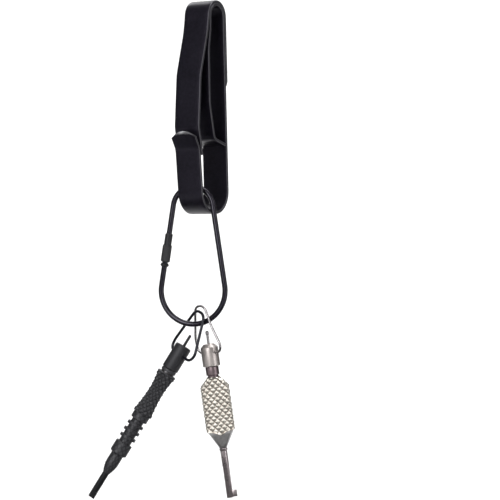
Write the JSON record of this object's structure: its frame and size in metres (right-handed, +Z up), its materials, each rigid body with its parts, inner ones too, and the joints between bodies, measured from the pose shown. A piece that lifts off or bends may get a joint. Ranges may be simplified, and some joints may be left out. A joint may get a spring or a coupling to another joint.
{
  "type": "key organiser",
  "caption": "Belt clip of two bent spring strips with a screw-lock wire ring, from which a black knurled key and a silver knurled key hang on swivel bails.",
  "frame": {"origin": "middle of the clip's slot for the belt, half-way across its strips", "axes": "+Z up, +X along the width of the clip's strips, the latch and lip in front on -Y"},
  "size_m": [0.0688, 0.051, 0.2631],
  "materials": {
    "clip_steel": "semi-gloss black oxide on spring steel",
    "ring_wire": "semi-gloss black coating on round wire",
    "lock_black": "satin black",
    "nut_steel": "matt black, knurled",
    "black_bail_wire": "semi-gloss black wire",
    "black_metal": "satin black anodised",
    "dark_steel": "dull steel in shadow",
    "washer_steel": "plain steel",
    "black_handle": "matt black anodised, knurled",
    "black_shaft": "satin black tube",
    "silver_bail_wire": "drawn steel wire",
    "nickel": "satin nickel",
    "nickel_pin": "satin nickel",
    "neck_nickel": "satin nickel, a little darker",
    "bright_nickel": "bright nickel, knurled over a smooth cone",
    "shaft_nickel": "satin nickel tube"
  },
  "bodies": {
    "clip": {"clip_frame": "clip_steel", "latch_band": "clip_steel"},
    "belt_hook": {"belt_hook": "clip_steel"},
    "latch_arm": {"latch_arm": "clip_steel"},
    "ring": {"ring_wire": "ring_wire", "ring_ferrule": "lock_black", "ring_stud": "lock_black", "stop_bead": "lock_black"},
    "lock_nut": {"lock_nut": "nut_steel"},
    "black_bail": {"black_bail": "black_bail_wire"},
    "black_barrel": {"black_swivel_barrel": "black_metal", "black_lock_pin": "black_metal", "black_retaining_ring": "dark_steel"},
    "black_key": {"black_swivel_stem": "dark_steel", "black_washer": "washer_steel", "black_grip": "black_handle", "black_key_shaft": "black_shaft"},
    "silver_bail": {"silver_bail": "silver_bail_wire"},
    "silver_barrel": {"silver_swivel_barrel": "nickel", "silver_lock_pin": "nickel_pin", "silver_retaining_ring": "dark_steel"},
    "silver_key": {"silver_swivel_stem": "neck_nickel", "silver_key_body": "bright_nickel", "silver_key_shaft": "shaft_nickel"}
  },
  "joints": [
    {"name": "hook_flex", "type": "hinge", "parent": "clip", "child": "belt_hook", "pos_m": [0, -0.0063, 0.023], "axis": [1, 0, 0], "range_deg": [-6, 0], "stiffness_Nm_per_rad": 0.6, "springref_deg": 4.01},
    {"name": "latch_flex", "type": "hinge", "parent": "clip", "child": "latch_arm", "pos_m": [0, -0.00845, 0.022], "axis": [1, 0, 0], "range_deg": [0, 7], "stiffness_Nm_per_rad": 0.8, "springref_deg": -4.01},
    {"name": "ring_swing", "type": "hinge", "parent": "clip", "child": "ring", "pos_m": [0, -0.0042, -0.0649], "axis": [1, 0, 0], "range_deg": [-15, 20]},
    {"name": "nut_travel", "type": "slide", "parent": "ring", "child": "lock_nut", "axis": [0.1484, 0.0398, 0.9881], "range_m": [0, 0.006]},
    {"name": "black_bail_on_ring", "type": "hinge", "parent": "ring", "child": "black_bail", "pos_m": [-0.0013, -0.00992, -0.1186], "axis": [0.2588, -0.9659, 0], "range_deg": [-40, 0]},
    {"name": "black_pivot", "type": "hinge", "parent": "black_bail", "child": "black_barrel", "pos_m": [-0.00872, -0.01215, -0.15216], "axis": [0.8771, -0.3282, -0.3506], "range_deg": [-25, 40]},
    {"name": "black_swivel", "type": "hinge", "parent": "black_barrel", "child": "black_key", "pos_m": [-0.00872, -0.01215, -0.15216], "axis": [0.4444, 0.2777, 0.8517], "continuous": true},
    {"name": "silver_bail_on_ring", "type": "hinge", "parent": "ring", "child": "silver_bail", "pos_m": [-0.0013, -0.00992, -0.1186], "axis": [0.2588, -0.9659, 0], "range_deg": [0, 40]},
    {"name": "silver_pivot", "type": "hinge", "parent": "silver_bail", "child": "silver_barrel", "pos_m": [0.00648, -0.00561, -0.15121], "axis": [0.9403, -0.3288, 0.0876], "range_deg": [-40, 40]},
    {"name": "silver_swivel", "type": "hinge", "parent": "silver_barrel", "child": "silver_key", "pos_m": [0.00648, -0.00561, -0.15121], "axis": [-0.118, -0.0738, 0.9903], "continuous": true}
  ]
}
